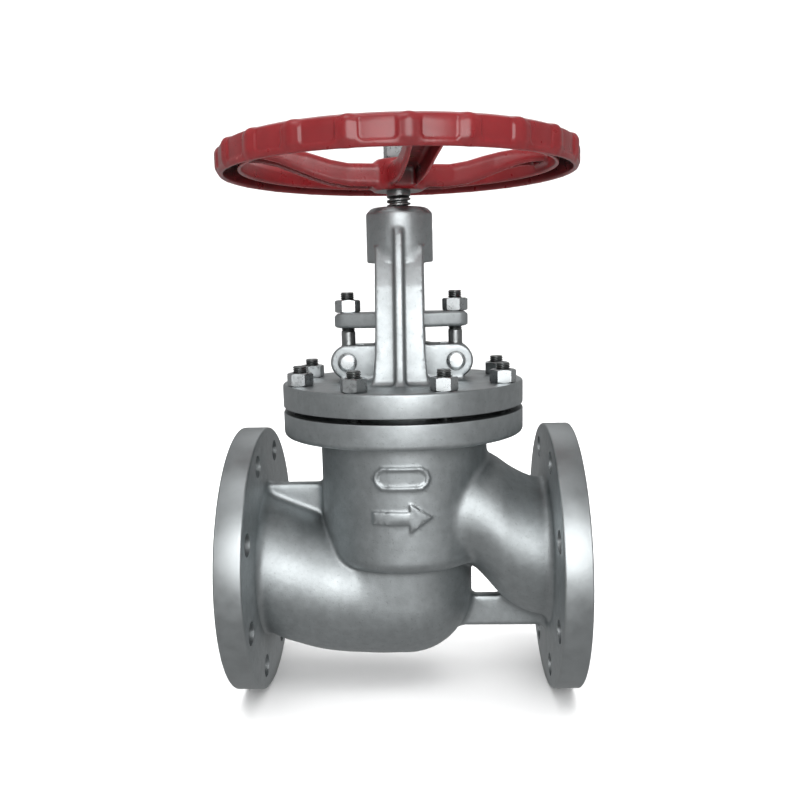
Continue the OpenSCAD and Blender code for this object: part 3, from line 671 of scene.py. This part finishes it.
# The elbow runs into the bowl at the stem axis.
upright = np.clip((x + 44) / 40, 0, 1)
elbow = d_passage(F, inlet_outer, upright**2 * (3 - 2 * upright) * 0.98)
elbow = np.maximum(elbow, np.where(x > -60, z - 60, -99))
blend = 11 * np.clip((-6 - x) / 25, 0.04, 1)
outer = smin(elbow, d_bowl(BOWL_R, LEDGE_Z + 3), blend)
chamber = d_cyl(rho, z, CHAMBER_R, LEDGE_Z, JOINT_Z + 20, 11)
outer = smin(outer, chamber, 2.8)
outer = smin(outer, d_passage(F, outlet_outer), 4.5)
rib_l = d_box(x, y, z, -100, 0, 52, 32, 6, 14, 3)
rib_r = d_box(x, y, z, 86, 0, -52, 42, 6, 14, 3)
outer = smin(outer, np.minimum(rib_l, rib_r), 6)
# Cores of the flanges; the turned rings that are joined on later cover them.
discs = np.minimum(d_cyl(tube, x, 112.5, -RIM_X + 0.8, -BACK_X - 0.8, 2),
                   d_cyl(tube, x, 112.5, BACK_X + 0.8, RIM_X - 0.8, 2))
discs = np.minimum(discs, d_cyl(rho, z, 101.5, JOINT_Z + 0.8, JOINT_TOP - 0.8, 3))
outer = smin(outer, discs, 9)
# Raised flow arrow on the front of the chamber, and a plain foundry pad above it.
arrow = [(-24, 47), (6, 47), (6, 40), (24, 52), (6, 64), (6, 57), (-24, 57)]
sign = np.maximum(d_poly(x, z, arrow), np.maximum(rho - CHAMBER_R - 1.7, y))
pad = np.hypot(np.maximum(np.abs(x) - 13, 0), z - 84) - 8
pad = np.maximum(np.abs(pad) - 1.4, np.maximum(rho - CHAMBER_R - 1.4, y))
outer = smin(outer, np.minimum(sign, pad), 1.2)

upper = np.minimum(d_cyl(rho, z, CHAMBER_BORE, FLOOR_Z, JOINT_TOP + 6, 2), d_passage(F, outlet_inner))
upper = np.maximum(upper, -np.maximum(rho - BOWL_R, z - FLOOR_Z))
lower = smin(d_passage(F, inlet_inner), d_bowl(BOWL_BORE, FLOOR_Z - 9), 3)
lower = np.minimum(lower, d_cyl(rho, z, 53.3, FLOOR_Z - 10, FLOOR_Z + 4))
shell = smax(outer, -np.minimum(upper, lower), 1.5)
body = raw("cast", F.mesh(shell, 0.004))


def flange_ring(side):
    serration = []
    r = RAISED_R - 2.5
    while r > PORT_R + 4:
        serration += [(r, HALF), (r - 0.55, HALF - 0.35)]
        r -= 1.1
    prof = [(PORT_R - 2, BACK_X + 1), (PORT_R - 2, HALF)] + serration[::-1] + [
        (RAISED_R, HALF), (RAISED_R + 0.1, RIM_X), (FLANGE_R, RIM_X), (FLANGE_R, BACK_X), (62, BACK_X),
        (60, BACK_X + 1)]
    rad = [0, 0] + [0] * len(serration) + [0.3, 0.3, 1.3, 2.0, 0, 0]
    return along_x(lathe(rounded(prof, rad), 144), 0, side < 0)


for side in (-1, 1):
    boolean(body, raw("f", flange_ring(side)), "UNION")
joint = [(CHAMBER_BORE, JOINT_Z + 2), (CHAMBER_BORE, RECESS_Z), (RECESS_R, RECESS_Z), (RECESS_R, JOINT_TOP),
         (JOINT_R, JOINT_TOP), (JOINT_R, JOINT_Z), (75, JOINT_Z), (73, JOINT_Z + 1)]
boolean(body, raw("j", lathe(rounded(joint, [0, 0.6, 0.6, 0.8, 1.0, 4.2, 0, 0], 5), 144)), "UNION")
boolean(body, raw("g", rod(RECESS_R, RECESS_Z, JOINT_TOP + 6, 144)), "DIFFERENCE")
holes = []
lay = Matrix.Translation((0, 0, BOLT_PCR)) @ Matrix.Rotation(math.radians(90), 4, "Y")
for side in (-1, 1):
    lo, hi = sorted((side * (BACK_X - 3), side * (HALF + 3)))
    holes.append(along_x(rod(PORT_R, lo, hi, 96)))
    verts, faces = rod(BOLT_R, lo, hi)
    for i in range(8):
        m = Matrix.Rotation(math.radians(22.5 + 45 * i), 4, "X") @ lay
        holes.append((turn(verts, m), faces))
stud_hole = lathe([(0, JOINT_Z + 2), (STUD_HOLE_R, JOINT_Z + 2), (STUD_HOLE_R, JOINT_TOP - 0.7),
                   (STUD_HOLE_R + 0.7, JOINT_TOP + 1), (0, JOINT_TOP + 1)], 32)
holes += [moved(stud_hole, px, py) for px, py in circle(8, STUD_R)]
boolean(body, raw("holes", join(*holes)), "DIFFERENCE")


def zones(me, rule):
    """A material number for each face from its centre, in millimetres about the valve's centre."""
    c = np.empty(len(me.polygons) * 3)
    me.polygons.foreach_get("center", c)
    return rule(c.reshape(-1, 3) * 1000 - (mm(CENTRE_X), 0, 0)).astype(np.int32)


def body_zone(c):
    t, r = np.hypot(c[:, 1], c[:, 2]), np.hypot(c[:, 0], c[:, 1])
    ax = np.abs(c[:, 0])
    end = (ax > BACK_X - 0.3) & (t > 62) | (ax > BACK_X + 1)
    end &= ~((ax < BACK_X + 1.0) & (t < FLANGE_R - 4))
    joint_face = (c[:, 2] > RECESS_Z - 0.5) & (r < JOINT_R - 0.6)
    return np.where(joint_face, 2, np.where(end, 1, 0))


me = take_mesh(body)
finish_piece("body_casting", me, [CAST, MACHINED_X, MACHINED_Z], "casing", "body", 40,
             zones(me, body_zone))


# ---------------------------------------------------------------- bonnet and yoke casting

F = Field((-64, -66, BONNET_TOP - 8), (64, 66, HUB_TOP + 2), 0.95)
x, y, z = F.x, F.y, F.z
ax, ay = np.abs(x), np.abs(y)
rho = np.hypot(x, y)
box_r = 24 + 14 * np.clip((BONNET_TOP + 7 - z) / 9, 0, 1) ** 2
cast = np.maximum(rho - box_r, z - BOX_TOP) * 0.9
cast = np.maximum(cast, BONNET_TOP - 6 - z)
# Clevis lugs at both sides.
reach = np.hypot(ax - PIN_X, z - PIN_Z) - 14.5
web = d_box(ax, y, z, 32, 0, 169, 14.5, 40, 18.2)
foot = d_box(ax, y, z, PIN_X + 2, 0, BONNET_TOP - 1, 4.5, 40, 7)
lug = np.maximum(np.minimum(np.minimum(reach, web), foot), z - BOX_TOP)
lug = smax(lug, ay - 15 + 0 * z, 2.5)
cast = smin(cast, lug, 3)
# Arms: a bowed web with a rib along the middle of its outer face.
zs = np.array([BONNET_TOP - 8, 166, 178, 196, 216, 236, 252, 262, 270])
arm_y = np.interp(z, zs, [45.2, 43.5, 41.5, 39, 35.5, 30.5, 24.5, 20, 17]).astype(np.float32)
arm_w = np.interp(z, [BONNET_TOP - 8, 157, 166, 182, 205, 228, 250, 266],
                  [24.4, 23.2, 21.8, 20.5, 20, 20, 20, 20.3]).astype(np.float32)
lean = np.interp(z, zs, [0.98, 0.985, 0.99, 0.985, 0.975, 0.965, 0.92, 0.9, 0.9]).astype(np.float32)
arm = smax((np.abs(ay - arm_y) - 4.3) * lean, ax - arm_w, 2.2)
arm = np.maximum(arm, z - 268)
rib_out = np.interp(z, [BONNET_TOP - 8, 157, 170, 190, 210, 232, 252, 268, 278, 283.5],
                    [64, 60.5, 55.5, 50, 46.5, 42, 37, 33.8, 31.5, 29]).astype(np.float32)
rib = smax(np.maximum(ay - rib_out, arm_y - ay - 2) * 0.95, ax - 3.6, 2.0)
rib = smax(rib, z - 283.5, 5)
arm = smin(arm, rib, 3.0)
cast = smin(cast, arm, 4)
hub = d_cyl(rho, z, HUB_R, HUB_Z, HUB_TOP, 1.2)
hub = smax(hub, (rho - HUB_R + z - HUB_TOP + 4.5) * 0.7071, 1.2)
cast = smin(cast, hub, 3.0)
plate = d_cyl(rho, z, 100, BONNET_TOP - 14, BONNET_TOP - 0.4)
cast = smin(cast, plate, 6)
cast = np.maximum(cast, rho - 66)
# The slots that hold the eyebolts.
slot_cut = d_box(ax, y, z, 56, 0, PIN_Z - 13.2 + 40, 24, 7, 40, 0.5)
cast = smax(cast, -slot_cut, 0.8)
bonnet = raw("yoke", F.mesh(cast, 0.004))
prof = [(0, 130.7), (75, 130.7), (75, BONNET_Z), (JOINT_R, BONNET_Z), (JOINT_R, BONNET_TOP), (0, BONNET_TOP)]
boolean(bonnet, raw("bf", lathe(rounded(prof, [0, 0.8, 0.4, 1.0, 2.4, 0], 4), 144)), "UNION")
boolean(bonnet, raw("bb", lathe([(0, 118), (27, 118), (34, 131.5), (34, 134), (0, 134)], 72)), "UNION")
# Bores for the backseat bushing, the stem, the packing and the yoke bushing; then the set screw and stud holes.
set_screw = lathe([(0, 10), (3.05, 10), (3.05, HUB_R - 0.6), (4, HUB_R + 2), (0, HUB_R + 2)], 32)
cuts = [rod(17.05, 117, 136, 72), rod(10.6, 135.5, 146, 64),
        lathe([(0, 145), (17, 145), (17, BOX_TOP - 0.8), (18.2, BOX_TOP + 0.6), (0, BOX_TOP + 0.6)], 72),
        rod(15.05, HUB_Z - 2, HUB_TOP + 2, 72),
        moved(along_x(set_screw), 0, 0, HUB_TOP - 16)]
cuts += [moved(rod(CLEAR_HOLE_R, BONNET_Z - 2, BONNET_TOP + 2, 32), px, py) for px, py in circle(8, STUD_R)]
for c in cuts:
    boolean(bonnet, raw("c", c), "DIFFERENCE")
for side in (-1, 1):
    boolean(bonnet, raw("pin", along_y(rod(PIN_HOLE_R, -20, 20), side * PIN_X, 0, PIN_Z)), "DIFFERENCE")
dish = lathe([(40, 129), (58, 129), (55, BONNET_Z + 4), (42, BONNET_Z + 4)], 72)
boolean(bonnet, raw("dish", dish), "DIFFERENCE")


def bonnet_zone(c):
    return np.where(c[:, 2] < BONNET_Z + 0.5, 1, 0)


me = take_mesh(bonnet)
finish_piece("bonnet_casting", me, [CAST_YOKE, MACHINED_Z], "casing", "bonnet", 40,
             zones(me, bonnet_zone))


# ---------------------------------------------------------------- packing

RINGS = ["packing_ring_%d" % i for i in range(1, 6)]
coils = []
for node in RINGS:
    low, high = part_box(node)
    z0, z1, r1 = mm(low.z) + 0.02, mm(high.z) - 0.02, mm(high.x - low.x) / 2
    coils.append(lathe(rounded([(STEM_R + 0.1, z0), (r1, z0), (r1, z1), (STEM_R + 0.1, z1)], 0.9, 4), 72))
packing = make("packing_set", *join(*coils), [PACKING], "casing", "graphite", RINGS)
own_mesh(packing)


# ---------------------------------------------------------------- gland flange

F = Field((-60, -29, GLAND_Z - 2), (60, 29, GLAND_TOP + 2), 0.7)
x, y, z = F.x, F.y, F.z
ax, ay = np.abs(x), np.abs(y)
MIDDLE_R, END_R, SLOT_HALF = 26, 13, 6.8
tilt = math.asin((MIDDLE_R - END_R) / PIN_X)
straight = ax * math.sin(tilt) + ay * math.cos(tilt) - MIDDLE_R
ends = np.where((ax - PIN_X) * math.cos(tilt) > ay * math.sin(tilt), np.hypot(ax - PIN_X, y) - END_R, straight)
plan = np.where(ax * math.cos(tilt) < ay * math.sin(tilt), np.hypot(x, y) - MIDDLE_R, ends)
slot = np.where(ax < PIN_X, np.hypot(ax - PIN_X, y) - SLOT_HALF, ay - SLOT_HALF)
flat = np.maximum(plan, -slot) + 0 * z
oval = smax(flat, np.abs(z - (GLAND_Z + GLAND_TOP) / 2) - (GLAND_TOP - GLAND_Z) / 2, 3.2)
end_x = PIN_X + math.sqrt(END_R**2 - SLOT_HALF**2)
oval = smax(oval, ((ax - end_x) + (z - GLAND_TOP) + 3) * 0.7071, 1.0)
gland = raw("gland", F.mesh(oval, 0.003))
bore = [(0, GLAND_Z - 4), (19.55, GLAND_Z - 4), (19.55, GLAND_Z + 3), (11, GLAND_Z + 3), (11, GLAND_TOP - 0.8),
        (12.4, GLAND_TOP + 0.6), (0, GLAND_TOP + 0.6)]
boolean(gland, raw("gb", lathe(bore, 72)), "DIFFERENCE")
finish_piece("gland_plate", take_mesh(gland), [CAST_YOKE], "gland", "gland_flange", 40)


# ---------------------------------------------------------------- eyebolts, pins and their nuts

for side, word in ((-1, "left"), (1, "right")):
    X0 = side * PIN_X
    F = Field((X0 - 14, -8, PIN_Z - 14), (X0 + 14, 8, PIN_Z + 26), 0.6)
    eye = d_cyl(np.hypot(F.x - X0, F.z - PIN_Z), F.y, 12, -6.8, 6.8, 1.6)
    shank = np.maximum(np.hypot(F.x - X0, F.y) - 5.95, PIN_Z - F.z)
    shank = np.maximum(shank, F.z - PIN_Z - 24)
    bolt = raw("eye", F.mesh(smin(eye, shank, 5), 0.003))
    top = GLAND_TOP + NUT_H + STAND + 1
    rows = span(PIN_Z + 22, GLAND_Z - 3, 0.5) + span(GLAND_Z - 2.6, top, FINE)
    shaft = threaded(*M12, rows, ends=(False, True), reach=(PIN_Z + 25, 999))
    boolean(bolt, raw("rod", moved(shaft, X0)), "UNION")
    boolean(bolt, raw("hole", along_y(rod(PIN_HOLE_R, -20, 20), X0, 0, PIN_Z)), "DIFFERENCE")
    finish_piece("swing_bolt_" + word, take_mesh(bolt), [THREAD], "swing_bolt_" + word,
                 "eyebolt_" + word, 32)
    prof = [(0, -21), (5, -21), (5, 15), (8, 15), (8, 17), (5.5, 18.0), (0, 18)]
    pin = lathe(rounded(prof, [0, 0.7, 0.2, 0.3, 0.6, 1.5, 0], 3), 48)
    ob = raw("pin", along_y(pin, X0, 0, PIN_Z, True))
    boolean(ob, raw("ph", moved(rod(1.25, -8, 8, 20), X0, 18, PIN_Z)), "DIFFERENCE")
    finish_piece("clevis_pin_" + word, take_mesh(ob), [FASTENER], "casing",
                 "eyebolt_pin_" + word, 35)
    nut = moved(hex_nut(NUT_FLATS, NUT_H, NUT_BORE), X0, 0, GLAND_TOP, 0.35 * side)
    make("gland_hex_" + word, *nut, [FASTENER], "clamp_nut_" + word, "fastener_steel", "gland_nut_" + word, 24)


# ---------------------------------------------------------------- stem

SOCKET_Z, HEAD_TOP, COLLAR_Z, SCREW_Z = 25.0, 34.0, 86.6, 216
lower = [(0, SOCKET_Z + 0.1), (13, SOCKET_Z + 0.1), (13, HEAD_TOP), (STEM_R, HEAD_TOP), (STEM_R, COLLAR_Z - 13),
         (15, COLLAR_Z - 8), (15, COLLAR_Z - 5), (STEM_R, COLLAR_Z), (STEM_R, SCREW_Z), (0, SCREW_Z)]
spindle = raw("stem", lathe(rounded(lower, [0, 1.2, 0.5, 0.4, 0.5, 0.5, 0.5, 0.3, 0, 0], 3), 72))
top = HUB_TOP + 13.5
screw = threaded(STEM_R, 4.0, 2.25, span(SCREW_Z - 2, top, 0.33), "trapezoid", 64, (False, False),
                 (SCREW_Z + 2, top - 3))
boolean(spindle, raw("tr", screw), "UNION")
boolean(spindle, raw("neck", rod(STEM_R, top - 1, WHEEL_Z, 72)), "UNION")
boolean(spindle, raw("sq", prism(square(7), WHEEL_Z - 2, WHEEL_TOP - 1)), "UNION")
NUT14_Z, NUT14_H = WHEEL_TOP + 2.5, 12.0
rows = [WHEEL_Z + 4] + span(NUT14_Z + NUT14_H - 3, NUT14_Z + NUT14_H + 4, 0.25)
boolean(spindle, raw("end", threaded(7.0, 2.0, 1.2, rows, ends=(False, True))), "UNION")


def stem_zone(c):
    return np.where(c[:, 2] > SCREW_Z + 1, 1, 0)


me = take_mesh(spindle)
finish_piece("stem_screw", me, [STEM_METAL, THREAD], "spindle", "stem", 32, zones(me, stem_zone))


# ---------------------------------------------------------------- handwheel

F = Field((-152, -152, WHEEL_Z - 1), (152, 152, RIM_TOP + 2), 1.0)
x, y, z = F.x, F.y, F.z
rho = np.hypot(x, y)
phi = np.arctan2(y, x)
zv = F.z[0, 0, :]
rv = np.arange(100, 222, 0.5, dtype=np.float32)
R_, Z_ = rv[:, None], zv[None, :]
W_IN = WHEEL_R - 21.5
LIP = RIM_Z + 4.2

outer2 = d_poly(R_, Z_, [(W_IN + 2.6, LIP + 1.9), (W_IN + 2.2, RIM_TOP - 8), (W_IN + 4.2, RIM_TOP - 4),
                         (W_IN + 8, RIM_TOP - 2), (WHEEL_R - 9, RIM_TOP - 2), (WHEEL_R - 4.6, RIM_TOP - 4),
                         (WHEEL_R - 2.9, RIM_TOP - 7.5), (WHEEL_R - 2.9, RIM_Z + 6),
                         (WHEEL_R - 3.8, RIM_Z + 1.9)]) - 1.9
inner2 = d_poly(R_, Z_, [(W_IN - 4, RIM_Z - 8), (W_IN + 4.4, LIP), (W_IN + 4.8, RIM_Z + 10),
                         (W_IN + 6, RIM_TOP - 8), (W_IN + 8.5, RIM_TOP - 5.2), (WHEEL_R - 10, RIM_TOP - 5.2),
                         (WHEEL_R - 7.5, RIM_TOP - 8), (WHEEL_R - 6.4, RIM_Z + 8), (WHEEL_R - 6.2, RIM_Z - 8)]) - 0.3
f = np.clip((rho[:, :, 0] - rv[0]) / 0.5, 0, len(rv) - 1.001)
i0 = f.astype(int)
w = (f - i0)[:, :, None].astype(np.float32)
rim_out = outer2[i0] * (1 - w) + outer2[i0 + 1] * w
rim_in = inner2[i0] * (1 - w) + inner2[i0 + 1] * w
# Grip knuckles round the outside, with a shallow panel sunk between each two.
KNUCKLES, GRIP_R, CORNER = 22, 146, 3
step = 2 * math.pi / KNUCKLES
arc = (((phi + math.radians(84.8)) + step / 2) % step - step / 2) * GRIP_R
panel_a, panel_z = 8.6 - np.abs(arc) + CORNER, np.abs(z - (RIM_Z + 12.4)) - 7.2 + CORNER
panel = np.hypot(np.maximum(panel_a, 0), np.maximum(panel_z, 0)) - CORNER
panel = panel + np.minimum(np.maximum(panel_a, panel_z), 0)
panel = np.maximum(panel, 147.7 - rho)
rim_out = smax(rim_out, -panel, 2.6)
ridge = np.sqrt(arc**2 + (rho - 144.2) ** 2 + np.maximum(np.abs(z - (RIM_Z + 12)) - 4.6, 0) ** 2) - 5.9
rim_out = smin(rim_out, ridge, 3.2)
rim = smax(rim_out, -rim_in, 1.2)
# Four dished channel spokes and the hub.
SPOKE_U = [20, 43, 58, 73, 88, 100, 112, 131]               # stations along a spoke, from the stem axis
spokes = None
hollow = None
for a in (-75.5, 14.5, 104.5, 194.5):
    ca, sa = math.cos(math.radians(a)), math.sin(math.radians(a))
    u, v = x * ca + y * sa, -x * sa + y * ca
    low = WHEEL_Z + np.interp(u, SPOKE_U, [1.8, 2.2, 4.5, 9.3, 15, 19.5, 22.3, 23.8])
    high = WHEEL_Z + np.interp(u, SPOKE_U, [21.8, 22.0, 24.6, 29.0, 32.6, 34.4, 34.8, 33.2])
    wide = np.interp(u, [20, 45, 80, 110, 131], [12.6, 11.4, 12.4, 14.6, 16])
    mid, half = (low + high) / 2, (high - low) / 2
    s1 = smax(np.abs(v) - wide, np.abs(z - mid) - half, 6)
    s1 = np.maximum(s1, np.maximum(-u, u - (W_IN + 4)))
    h1 = smax(np.abs(v) - wide + 3.4, z - (high - 4.0), 4)
    h1 = smax(h1, np.maximum(23.5 - u, u - (W_IN - 2.5)), 3)
    spokes = s1 if spokes is None else smin(spokes, s1, 9)
    hollow = h1 if hollow is None else np.minimum(hollow, h1)
hub = d_cyl(rho, z, 19.0, WHEEL_Z, WHEEL_TOP, 1.6)
arms = smin(spokes, hub, 6)
arms = np.maximum(arms, WHEEL_Z - z)
arms = smax(arms, -hollow, 1.2)
arms = np.maximum(arms, -np.where(rho > W_IN + 4, rim_in, 1e3))
wheel = smin(rim, arms, 3.5)
wheel = np.maximum(wheel, -np.where(rho > W_IN + 3.5, rim_in, 1e3))
wheel = np.minimum(wheel, hub + 0 * rho)
hw = raw("wheel", F.mesh(wheel))
boolean(hw, raw("sq", prism(square(7.05), WHEEL_Z - 4, WHEEL_TOP + 4)), "DIFFERENCE")
finish_piece("handwheel_cast", take_mesh(hw), [RED], "spindle", "handwheel", 60)
washer = rounded([(7.2, WHEEL_TOP), (13.5, WHEEL_TOP), (13.5, NUT14_Z), (7.2, NUT14_Z)], [0.2, 0.3, 0.7, 0.3], 2)
make("wheel_washer", *lathe(washer, 64), [FASTENER], "spindle", "fastener_steel", "handwheel_washer")
nut = moved(hex_nut(21.5, NUT14_H, 7.05), 0, 0, NUT14_Z, 0.3)
make("wheel_nut", *nut, [FASTENER], "spindle", "fastener_steel", "handwheel_nut", 24)


# ---------------------------------------------------------------- camera, floor and light

def look(yaw, pitch, roll):
    """A rotation whose view runs along +Y at zero yaw, rises with pitch and tips with roll."""
    fwd = Vector((math.sin(yaw) * math.cos(pitch), math.cos(yaw) * math.cos(pitch), math.sin(pitch)))
    right = Vector((math.cos(yaw), -math.sin(yaw), 0))
    up = right.cross(fwd)
    r = right * math.cos(roll) + up * math.sin(roll)
    u = -right * math.sin(roll) + up * math.cos(roll)
    return Matrix((r, u, -fwd)).transposed()


cam = bpy.data.cameras.new("camera")
cam.lens, cam.sensor_width = 36.957, 36.0
cam.clip_start, cam.clip_end = 0.05, 50
camera = bpy.data.objects.new("camera", cam)
bpy.context.scene.collection.objects.link(camera)
place = Matrix.Translation((CENTRE_X + 0.0265, -0.7081, 0.2331))
camera.matrix_world = place @ look(-0.0413, -0.1336, -0.0228).to_4x4()
bpy.context.scene.camera = camera

floor_z = CAD_BOX[0].z - 0.0005
# A pale floor that curves up all round into a plain wall.
FLAT_R, COVE_R, WALL_H, SIDES = 2.6, 1.2, 5.0, 96
cove = [(FLAT_R + COVE_R * math.sin(t), COVE_R - COVE_R * math.cos(t)) for t in np.linspace(0.1, math.pi / 2, 14)]
rows = [(0.02, 0.0), (FLAT_R, 0.0)] + cove + [(FLAT_R + COVE_R, WALL_H)]
angles = np.linspace(0, 2 * math.pi, SIDES, endpoint=False)
verts = [(r * math.cos(a) + CENTRE_X, r * math.sin(a), h + floor_z) for r, h in rows for a in angles]
me = bpy.data.meshes.new("floor")
me.from_pydata(verts, [], quads(len(rows), SIDES) + [list(range(SIDES))[::-1]])
me.polygons.foreach_set("use_smooth", [True] * len(me.polygons))
paper = Nodes("floor_paper", Base_Color=(0.9, 0.9, 0.9, 1), Roughness=0.75)
me.materials.append(paper.done(None, None, paper.bump(paper.noise(3, 2), 0.05, 0.1)))
floor = bpy.data.objects.new("floor", me)
bpy.context.scene.collection.objects.link(floor)
floor.visible_glossy = False
floor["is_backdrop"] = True

world = bpy.data.worlds.new("studio")
bpy.context.scene.world = world
world.use_nodes = True
sky = world.node_tree.nodes["Background"]
sky.inputs["Color"].default_value = (1, 1, 1, 1)
sky.inputs["Strength"].default_value = 0.29


def area(name, place, target, size, power, glossy=True):
    d = bpy.data.lights.new(name, "AREA")
    d.shape, d.size, d.energy = "DISK", size, power
    ob = bpy.data.objects.new(name, d)
    bpy.context.scene.collection.objects.link(ob)
    ob.location = place
    ob.rotation_mode = "QUATERNION"
    ob.rotation_quaternion = (Vector(target) - Vector(place)).to_track_quat("-Z", "Y")
    ob.visible_glossy = glossy


aim = (CENTRE_X, 0, 0.08)
area("key", (CENTRE_X + 0.14, -1.5, 0.57), aim, 1.3, 16.5)
area("top", (CENTRE_X - 0.3, -0.5, 1.7), aim, 0.8, 2.4)
area("paper_floor", (CENTRE_X, 0.1, 2.3), (CENTRE_X, 0.1, 0), 3.8, 85, False)
area("paper_front", (CENTRE_X, -1.2, 1.9), (CENTRE_X, -0.1, -0.1), 2.0, 20, False)
area("paper_wall", (CENTRE_X, 0.5, 1.9), (CENTRE_X, 2.8, 0.5), 1.6, 40, False)
area("back", (CENTRE_X, 1.2, 1.3), aim, 1.4, 2.2)

bpy.context.scene.view_settings.view_transform = "Standard"
lo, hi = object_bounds()
